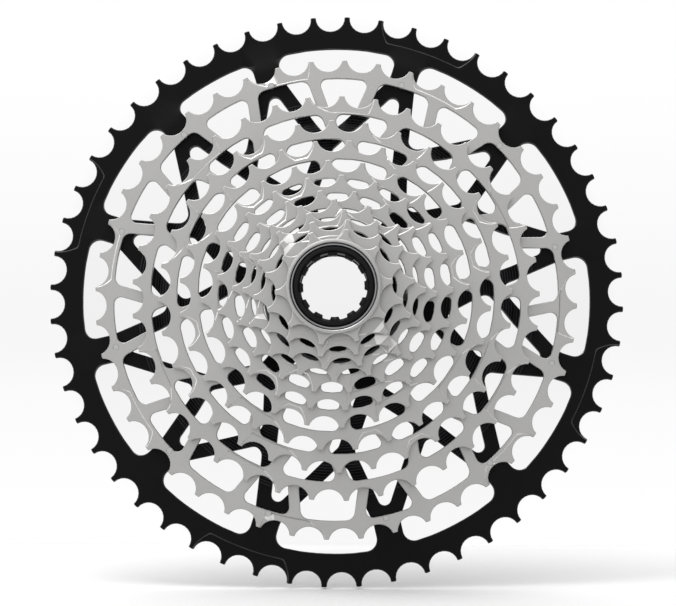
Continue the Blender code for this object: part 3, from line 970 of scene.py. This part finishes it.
class CASSETTE_OT_steel(bpy.types.Operator):
    """Build the eleven steel sprockets with windows, ramps and the walls between them"""

    bl_idname = "cassette.steel"
    bl_label = "Steel sprockets"

    def execute(self, context):
        bevel = context.scene.cassette.steel_bevel / MM
        rows = SPROCKETS + [(None,)]
        for larger, row, after in zip(SPROCKETS, SPROCKETS[1:], rows[2:]):
            teeth = row[0]
            smaller = after[0]
            node = "sprocket_%dt" % teeth
            front, back = plate_span(node)
            if smaller is None:
                front = smallest_plate()
            bore = BORES.get(teeth) or root_radius(smaller) - INNER_RING
            holes = [circle(bore, ROUND_STEPS)]
            if teeth in WINDOWS:
                holes += window_loops(teeth, smaller)
            if teeth in HOLED:
                holes += hole_loops(teeth, smaller)
            pins = pin_centres() if teeth == 44 else []
            holes += [circle(PIN_HOLE, PIN_HOLE_STEPS, centre) for centre in pins]
            rim = WINDOW_RIM if teeth in WINDOWS else HOLE_RIM
            ramps = ramp_rows(teeth, rim - bevel - RAMP_STEP - RAMP_CLEAR)
            plate = cut_plate("steel_%dt" % teeth, tooth_outline(*row), holes, flat(front),
                              flat(front + PLATE), bevel, steel_materials(), ramps, None,
                              len(pins), root_radius(teeth) - PLAIN_RIM)
            finish_piece(plate, "cluster", "sprocket_steel", node)
            if larger is not SPROCKETS[0]:
                self.wall(teeth, larger[0], front + PLATE - WALL_LAP, back)
        return {"FINISHED"}

    def wall(self, teeth, larger, top, bottom):
        """Wall from the back of a sprocket to the next one: lugs on spokes, or a whole ring.

        A lug spans the spoke's width as an angle, between the wall's radius and one further in.
        """
        outer = root_radius(teeth) - WALL_SETBACK
        name = "wall_%dt" % teeth
        if larger not in WINDOWS:
            inner = outer - WALL_RING
            steel_detail(lathe(name, [(outer, top), (inner, top), (inner, bottom),
                                      (outer, bottom)], steel_material()))
            return
        count, spoke_angle, width, lean = WINDOWS[larger]
        number = np.arange(count)
        middles = spoke_angle + number * 360.0 / count + np.where(number % 2, -lean, lean)
        half = math.degrees(width / 2.0 / outer)
        radii = outer - np.array((LUG_DEPTH, 0.0, 0.0, LUG_DEPTH))
        corners = polar(radii, middles[:, None] + half * np.array((-1.0, -1.0, 1.0, 1.0)))
        vertices = np.empty((count, 2, 4, 3))
        vertices[..., 0] = corners[:, None, :, 0]
        vertices[..., 1] = np.array((top, bottom))[:, None]
        vertices[..., 2] = corners[:, None, :, 1]
        faces = (number[:, None, None] * 8 + LUG_FACES).reshape(-1, 4).tolist()
        steel_detail(new_piece(name, vertices.reshape(-1, 3), faces, steel_material()))


class CASSETTE_OT_collar(bpy.types.Operator):
    """Build the collar on the smallest sprocket"""

    bl_idname = "cassette.collar"
    bl_label = "Collar"

    def execute(self, context):
        front, _ = plate_span("sprocket_10t")
        foot = smallest_plate() + 0.05
        steel_detail(lathe("collar_10t", [
            (COLLAR, foot), (COLLAR, front + 0.5), (COLLAR - 0.3, front + 0.12),
            (COLLAR - 0.7, front), (15.75, front), (15.45, front + 0.25), (15.4, foot),
        ], steel_material()))
        return {"FINISHED"}


class CASSETTE_OT_snap_ring(bpy.types.Operator):
    """Build the spring ring round the lock tube's nose"""

    bl_idname = "cassette.snap_ring"
    bl_label = "Snap ring"

    def execute(self, context):
        low, high = plate_span("snap_ring")
        spring = material_once("snap_spring", (0.26, 0.26, 0.265), 0.38, 1.0, 0.5, 0.2, 0.1)
        ring = lathe("snap_ring_turned", [
            (15.1, high), (15.15, low + 0.2), (14.95, low), (14.55, low), (14.35, low + 0.2),
            (14.35, high)], spring)
        finish_piece(ring, "cluster", "spring_steel", "snap_ring")
        return {"FINISHED"}


class CASSETTE_OT_thrust_washer(bpy.types.Operator):
    """Build the washer behind the lock tube's lip"""

    bl_idname = "cassette.thrust_washer"
    bl_label = "Thrust washer"

    def execute(self, context):
        low, high = plate_span("thrust_washer")
        polymer = material_once("washer_polymer_turned", (0.05, 0.05, 0.05), 0.6, 0.0, 0.4,
                                0.1, 0.3)
        washer = lathe("thrust_washer_turned", [
            (15.1, high), (15.1, low), (13.3, low), (13.3, high)], polymer)
        finish_piece(washer, "cluster", "washer_polymer", "thrust_washer")
        return {"FINISHED"}


class CASSETTE_OT_pins(bpy.types.Operator):
    """Build the pins that join the second sprocket to the spider's arms"""

    bl_idname = "cassette.pins"
    bl_label = "Pins"

    def execute(self, context):
        steel = material_once("pin_steel_ground", (0.42, 0.42, 0.42), 0.38, 1.0, 0.5, 0.1, 0.1)
        for number, centre in enumerate(pin_centres(), 1):
            node = "spider_pin_%02d" % number
            low, high = plate_span(node)
            pin = cut_plate("pin_%02d" % number, circle(PIN_RADIUS, PIN_STEPS, centre), [],
                            flat(low), flat(high), PIN_BEVEL, (steel,) * 3)
            finish_piece(pin, "cluster", "pin_steel", node)
        return {"FINISHED"}


class CASSETTE_OT_lock_tube(bpy.types.Operator):
    """Build the lock tube with its tool splines and its inner thread"""

    bl_idname = "cassette.lock_tube"
    bl_label = "Lock tube"

    def execute(self, context):
        front, back = plate_span("lock_tube")
        black = material_once("black_tube_turned", tuple(context.scene.cassette.black), 0.40, 0.0,
                              0.12, 0.5, 0.1)
        shell = lathe("lock_tube_shell", self.profile(front, back), black)
        finish_piece(shell, "lock_tube", "black_tube", "lock_tube")
        teeth = cut_plate("lock_tube_splines", circle(TOOL_RING, TURNED_STEPS), [self.tool_outline()],
                          flat(front + 1.1), flat(front + 4.5), 0.25, (black,) * 3)
        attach(teeth, "lock_tube")
        return {"FINISHED"}

    def profile(self, front, back):
        """Rows of (radius, y): nose, lip and body outside, then thread and bore inside.

        The thread is a row of root and crest pairs, evenly spaced from the back to the nose.
        """
        outside = [
            (TUBE_NOSE - 0.6, front), (TUBE_NOSE - 0.15, front + 0.15), (TUBE_NOSE, front + 0.6),
            (TUBE_NOSE, front + 1.75), (TUBE_LIP, front + 1.8), (TUBE_LIP, front + 4.8),
            (TUBE_BODY, front + 4.8), (TUBE_BODY, back),
        ]
        start = front + 5.4
        thread = []
        for turn in range(THREAD_TURNS):
            y = back - (back - start) * turn / THREAD_TURNS
            thread += [(THREAD_ROOT, y), (THREAD_CREST, y - THREAD_RISE)]
        return outside + thread + [(12.0, front + 4.7), (12.0, front + 1.1), (12.6, front)]

    def tool_outline(self):
        """Notches for the tool on one radius, with teeth on a smaller one between them."""
        step = 360.0 / TOOL_SPLINES
        corners = []
        for number in range(TOOL_SPLINES):
            notch = TOOL_START + number * step
            corners += [
                (*polar(TOOL_ROOT, notch - TOOL_NOTCH), 0.35),
                (*polar(TOOL_ROOT, notch), 0.0),
                (*polar(TOOL_ROOT, notch + TOOL_NOTCH), 0.35),
                (*polar(TOOL_TIP, notch + TOOL_NOTCH + TOOL_FLANK), 0.2),
                (*polar(TOOL_TIP, notch + step / 2.0), 0.0),
                (*polar(TOOL_TIP, notch + step - TOOL_NOTCH - TOOL_FLANK), 0.2),
            ]
        return rounded(corners, 5)


class CASSETTE_OT_stage(bpy.types.Operator):
    """Build the pale floor, the sky with its backdrop, one lamp and the camera"""

    bl_idname = "cassette.stage"
    bl_label = "Stage"

    def execute(self, context):
        settings = context.scene.cassette_stage
        away = self.away(settings)
        self.floor(context, settings)
        self.sky(context, settings, away)
        self.lamp(context)
        self.camera(context, settings, away)
        context.scene.view_settings.view_transform = "Standard"
        return {"FINISHED"}

    def away(self, settings):
        """Direction from the object to the camera, from its elevation and azimuth."""
        flat_part = math.cos(settings.elevation)
        return Vector((math.sin(settings.azimuth) * flat_part,
                       -math.cos(settings.azimuth) * flat_part, math.sin(settings.elevation)))

    def floor(self, context, settings):
        """Floor under the teeth, sloped so that the camera looks along it."""
        low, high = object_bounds()
        rest_y = high[1] - REST_LINE
        slope = math.tan(-settings.elevation)
        corners = [(x, rest_y + y, low[2] - FLOOR_GAP + y * slope)
                   for x, y in ((-FLOOR_SIDE, FLOOR_AHEAD), (FLOOR_SIDE, FLOOR_AHEAD),
                                (FLOOR_SIDE, FLOOR_BEHIND), (-FLOOR_SIDE, FLOOR_BEHIND))]
        mesh = bpy.data.meshes.new("floor")
        mesh.from_pydata(corners, [], [(0, 1, 2, 3)])
        floor = bpy.data.objects.new("floor", mesh)
        context.scene.collection.objects.link(floor)
        material = bpy.data.materials.new("floor_paper")
        n = Nodes(material)
        n.set(n.tree.nodes["Principled BSDF"], Base_Color=(*settings.floor, 1.0), Roughness=0.9,
              Specular_IOR_Level=0.0)
        mesh.materials.append(material)
        floor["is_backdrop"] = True

    def sky(self, context, settings, away):
        """Pale sky that lights the object, and a backdrop that only the camera sees.

        The sky's strength in a direction (x, y, z) is sky (1 - leftward x), times a curve from
        below over level to above as z goes from -1 to 1.
        """
        world = bpy.data.worlds.new("pale")
        n = Nodes(world)
        direction = n.add("ShaderNodeTexCoord").outputs["Generated"]
        apart = n.add("ShaderNodeSeparateXYZ", Vector=direction).outputs
        share = n.curve(n.maths("MULTIPLY_ADD", apart["Z"], 0.5, 0.5),
                        ((0.0, settings.below), (0.5, settings.level), (1.0, settings.above)))
        side = n.maths("MULTIPLY_ADD", apart["X"], -settings.leftward * settings.sky,
                       settings.sky)
        choose = n.add("ShaderNodeMix", Factor=n.add("ShaderNodeLightPath").outputs["Is Camera Ray"],
                       A=n.maths("MULTIPLY", share, side),
                       B=self.backdrop(n, settings, away, direction, apart["Z"]))
        n.set(n.tree.nodes["Background"], Color=(1.0, 1.0, 1.0, 1.0),
              Strength=choose.outputs["Result"])
        context.scene.world = world

    def backdrop(self, n, settings, away, direction, height):
        """Brightness of the backdrop: a grade over its height, less in a disc behind the object.

        A row of the grade gives least + (1 - least) share.  The disc fades out between two
        angles from the camera's line of sight.
        """
        least = settings.backdrop
        rows = [(place, least + (1.0 - least) * share) for place, share in BACKDROP_GRADE]
        raised = n.add("ShaderNodeMapRange", From_Min=BACKDROP_LOW, From_Max=BACKDROP_HIGH,
                       Value=height).outputs["Result"]
        grade = n.curve(raised, [(0.0, 1.0), *rows, (1.0, 1.0)])
        towards = n.add("ShaderNodeVectorMath", operation="DOT_PRODUCT")
        n.tree.links.new(direction, towards.inputs[0])
        towards.inputs[1].default_value = -away
        disc = n.add("ShaderNodeMapRange", From_Min=math.cos(math.radians(SHADE_END)),
                     From_Max=math.cos(math.radians(SHADE_START)), To_Min=1.0,
                     To_Max=settings.shade, Value=towards.outputs["Value"])
        return n.maths("MULTIPLY", grade, disc.outputs["Result"])

    def lamp(self, context):
        """One small soft lamp up to the left, pointing at the object."""
        data = bpy.data.lights.new("top_light", "AREA")
        data.size = LAMP_SIZE
        data.energy = LAMP_POWER
        lamp = bpy.data.objects.new("top_light", data)
        lamp.location = LAMP_PLACE
        lamp.rotation_euler = (-Vector(LAMP_PLACE)).to_track_quat("-Z", "Y").to_euler()
        context.scene.collection.objects.link(lamp)

    def camera(self, context, settings, away):
        """Camera on the line from the largest sprocket's middle, looking back along it."""
        data = bpy.data.cameras.new("camera")
        data.lens = settings.lens
        data.sensor_width = SENSOR_WIDTH
        data.shift_x, data.shift_y = CAMERA_SHIFT
        camera = bpy.data.objects.new("camera", data)
        camera.location = Vector(CAMERA_TARGET) + away * settings.distance
        camera.rotation_euler = (-away).to_track_quat("-Z", "Y").to_euler()
        context.scene.collection.objects.link(camera)
        context.scene.camera = camera


class CASSETTE_PT_panel(bpy.types.Panel):
    """Sidebar panel with the sizes, the colours and one button for each operator"""

    bl_idname = "CASSETTE_PT_panel"
    bl_label = "Cassette"
    bl_space_type = "VIEW_3D"
    bl_region_type = "UI"
    bl_category = "Cassette"

    def draw(self, context):
        for settings in (context.scene.cassette, context.scene.cassette_stage):
            for name in type(settings).__annotations__:
                self.layout.prop(settings, name)
        for operator in OPERATORS:
            self.layout.operator(operator.bl_idname)


OPERATORS = (
    CASSETTE_OT_spider,
    CASSETTE_OT_steel,
    CASSETTE_OT_collar,
    CASSETTE_OT_snap_ring,
    CASSETTE_OT_thrust_washer,
    CASSETTE_OT_pins,
    CASSETTE_OT_lock_tube,
    CASSETTE_OT_stage,
)
CLASSES = (CassetteSettings, CassetteStage) + OPERATORS + (CASSETTE_PT_panel,)


def register():
    """Register the classes and the scene's settings."""
    for cls in CLASSES:
        bpy.utils.register_class(cls)
    bpy.types.Scene.cassette = bpy.props.PointerProperty(type=CassetteSettings)
    bpy.types.Scene.cassette_stage = bpy.props.PointerProperty(type=CassetteStage)


def unregister():
    """Remove the settings and the classes."""
    del bpy.types.Scene.cassette_stage
    del bpy.types.Scene.cassette
    for cls in reversed(CLASSES):
        bpy.utils.unregister_class(cls)


def main():
    """Build every piece and the stage."""
    register()
    bpy.ops.cassette.spider()
    bpy.ops.cassette.steel()
    bpy.ops.cassette.collar()
    bpy.ops.cassette.snap_ring()
    bpy.ops.cassette.thrust_washer()
    bpy.ops.cassette.pins()
    bpy.ops.cassette.lock_tube()
    bpy.ops.cassette.stage()


if __name__ == "__main__":
    main()
